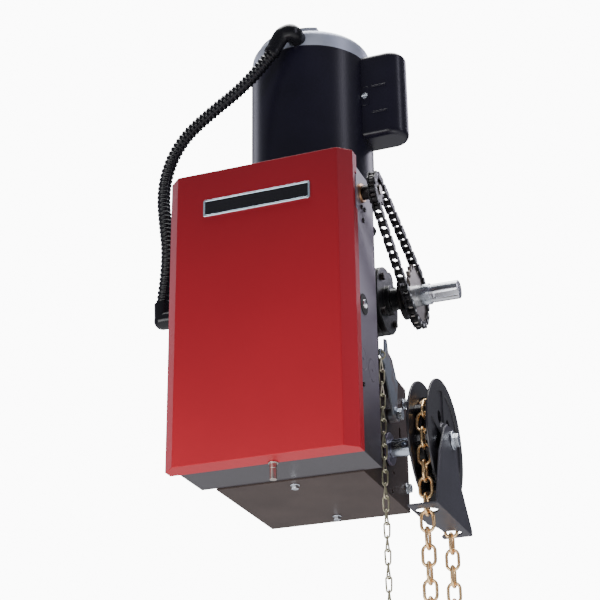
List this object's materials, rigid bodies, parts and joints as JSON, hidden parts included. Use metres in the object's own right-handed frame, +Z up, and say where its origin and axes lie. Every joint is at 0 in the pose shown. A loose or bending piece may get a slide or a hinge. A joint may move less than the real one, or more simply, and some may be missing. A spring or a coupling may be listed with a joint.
{
  "type": "garage door opener",
  "caption": "Gear-driven door operator: upright motor with capacitor over a sheet-metal control box, worm gearbox, output shaft, limit chain drive and a hand-chain hoist",
  "frame": {"origin": "Middle of the four wall-bolt holes, on the rear face of the frame's back plate", "axes": "+X to the right along the output shaft, +Y to the wall, +Z up"},
  "size_m": [0.3795, 0.298, 0.8822],
  "materials": {
    "frame_steel": "dark brown-black satin paint",
    "bracket_steel": "dark brown satin paint",
    "box_paint": "grey satin paint with a purple cast",
    "cover_paint": "red metallic satin paint",
    "badge": "glossy black plate in a silver border",
    "zinc": "zinc plated",
    "bright_nut": "bright plated",
    "plug_steel": "nickel plated",
    "knockout_paint": "grey satin paint",
    "rubber_black": "matt black",
    "bronze": "sintered bronze, oiled",
    "zinc_blue": "blue zinc plated",
    "collar_paint": "grey-purple satin",
    "wheel_paint": "black semi-gloss paint",
    "brass_plate": "yellow zinc plated, bright",
    "guide_paint": "dark grey satin paint",
    "lever_zinc": "blue zinc plated",
    "sash_plate": "pale yellow-green plated",
    "case_paint": "black paint over cast iron",
    "black_bolt": "black oxide",
    "bearing_steel": "ground",
    "shaft_steel": "ground and polished",
    "key_steel": "plain",
    "motor_paint": "black semi-gloss paint",
    "bell_aluminium": "as cast, pale blue-grey",
    "lamination": "varnished laminations",
    "capacitor_paint": "black semi-gloss paint",
    "can_plastic": "black",
    "conduit_black": "black ribbed jacket",
    "elbow_black": "black",
    "sprocket_steel": "plain, oiled",
    "collar_steel": "dark plated",
    "chain_black": "black oxide with bright pin ends",
    "hub_black": "black oxide",
    "nut_white": "white nylon",
    "switch_black": "black",
    "board_green": "solder mask green",
    "relay_blue": "blue and black cases",
    "button_white": "white",
    "button_red": "red",
    "dial_yellow": "yellow",
    "transformer_grey": "varnished core",
    "contactor_grey": "grey"
  },
  "bodies": {
    "frame": {"operator_frame": "frame_steel", "deck_plate": "frame_steel", "box_brackets": "bracket_steel", "control_box": "box_paint", "hinge_pins": "zinc", "hole_plug": "plug_steel", "knockout_discs": "knockout_paint", "sheet_screws": "zinc", "cable_grommet": "rubber_black", "hoist_axle": "zinc", "hoist_bushing": "bronze", "hand_chain": "brass_plate", "chain_guide": "guide_paint", "lever_pivot": "zinc", "gear_housing": "case_paint", "gear_cap": "case_paint", "case_bolts": "black_bolt", "bearings": "bearing_steel", "motor_adapter": "case_paint", "motor_shell": "motor_paint", "motor_end_bell": "bell_aluminium", "stator": "lamination", "capacitor_cover": "capacitor_paint", "capacitor": "can_plastic", "motor_screws": "zinc", "conduit": "conduit_black", "conduit_elbow_motor": "elbow_black", "conduit_elbow_box": "elbow_black", "limit_chain": "chain_black", "limit_bushings": "bronze", "nut_retainer": "zinc", "switch_bracket": "zinc", "limit_switches": "switch_black", "logic_board": "board_green", "board_relays": "relay_blue", "transformer": "transformer_grey", "contactors": "contactor_grey"},
    "cover": {"box_cover": "cover_paint", "cover_badge": "badge"},
    "cover_fastener": {"cover_nut": "bright_nut"},
    "output": {"output_shaft": "shaft_steel", "output_key": "key_steel", "worm_wheel": "bronze", "output_sprocket": "sprocket_steel", "drive_collar": "collar_steel"},
    "motor_rotor": {"motor_shaft": "key_steel", "rotor": "lamination"},
    "limit_drive": {"limit_shaft": "key_steel", "limit_sprocket": "hub_black"},
    "nut_open": {"limit_nut_open": "nut_white"},
    "nut_close": {"limit_nut_close": "nut_white"},
    "hoist": {"hoist_sleeve": "zinc_blue", "hoist_collar": "collar_paint", "chain_wheel": "wheel_paint"},
    "release_lever": {"disconnect_lever": "lever_zinc"},
    "pull_chain": {"sash_chain": "sash_plate"},
    "button_open": {"push_button_open": "button_white"},
    "button_close": {"push_button_close": "button_white"},
    "button_stop": {"push_button_stop": "button_red"},
    "selector": {"selector_dial": "dial_yellow"}
  },
  "joints": [
    {"name": "cover_hinge", "type": "hinge", "parent": "frame", "child": "cover", "pos_m": [-0.1232, -0.26, 0.11], "axis": [0, 0, 1], "range_deg": [-100, 0]},
    {"name": "nut_spin", "type": "hinge", "parent": "frame", "child": "cover_fastener", "pos_m": [0.0086, -0.2685, -0.1], "axis": [0, 0, 1], "continuous": true},
    {"name": "output_turn", "type": "hinge", "parent": "frame", "child": "output", "pos_m": [0.1473, -0.07847, 0.18693], "axis": [1, 0, 0], "continuous": true, "deforming": ["limit_chain"]},
    {"name": "rotor_turn", "type": "hinge", "parent": "frame", "child": "motor_rotor", "pos_m": [0.0133, -0.12297, 0.41], "axis": [0, 0, 1], "continuous": true},
    {"name": "limit_turn", "type": "hinge", "parent": "frame", "child": "limit_drive", "pos_m": [0.1373, -0.2434, 0.2663], "axis": [1, 0, 0], "continuous": true},
    {"name": "nut_open_travel", "type": "slide", "parent": "frame", "child": "nut_open", "axis": [1, 0, 0], "range_m": [-0.03, 0.05]},
    {"name": "nut_close_travel", "type": "slide", "parent": "frame", "child": "nut_close", "axis": [1, 0, 0], "range_m": [-0.03, 0.05]},
    {"name": "hoist_turn", "type": "hinge", "parent": "frame", "child": "hoist", "pos_m": [0.1638, -0.095, -0.0305], "axis": [1, 0, 0], "continuous": true, "deforming": ["hand_chain"]},
    {"name": "release_swing", "type": "hinge", "parent": "frame", "child": "release_lever", "pos_m": [0.1083, -0.083, 0.02], "axis": [1, 0, 0], "range_deg": [0, 25], "stiffness_Nm_per_rad": 0.8},
    {"name": "pull_chain_hang", "type": "hinge", "parent": "release_lever", "child": "pull_chain", "pos_m": [0.1083, -0.1385, 0.087], "axis": [1, 0, 0], "range_deg": [-25, 0]},
    {"name": "button_open_press", "type": "slide", "parent": "frame", "child": "button_open", "axis": [0, 1, 0], "range_m": [0, 0.0018], "stiffness_N_per_m": 300},
    {"name": "button_close_press", "type": "slide", "parent": "frame", "child": "button_close", "axis": [0, 1, 0], "range_m": [0, 0.0018], "stiffness_N_per_m": 300},
    {"name": "button_stop_press", "type": "slide", "parent": "frame", "child": "button_stop", "axis": [0, 1, 0], "range_m": [0, 0.0018], "stiffness_N_per_m": 300},
    {"name": "selector_turn", "type": "hinge", "parent": "frame", "child": "selector", "pos_m": [0.0233, -0.216, 0.068], "axis": [0, 1, 0], "range_deg": [-60, 60]}
  ],
  "couplings": [
    {"joint": "rotor_turn", "follows": "output_turn", "ratio": 20},
    {"joint": "limit_turn", "follows": "output_turn", "ratio": 2},
    {"joint": "pull_chain_hang", "follows": "release_swing", "ratio": -1}
  ]
}
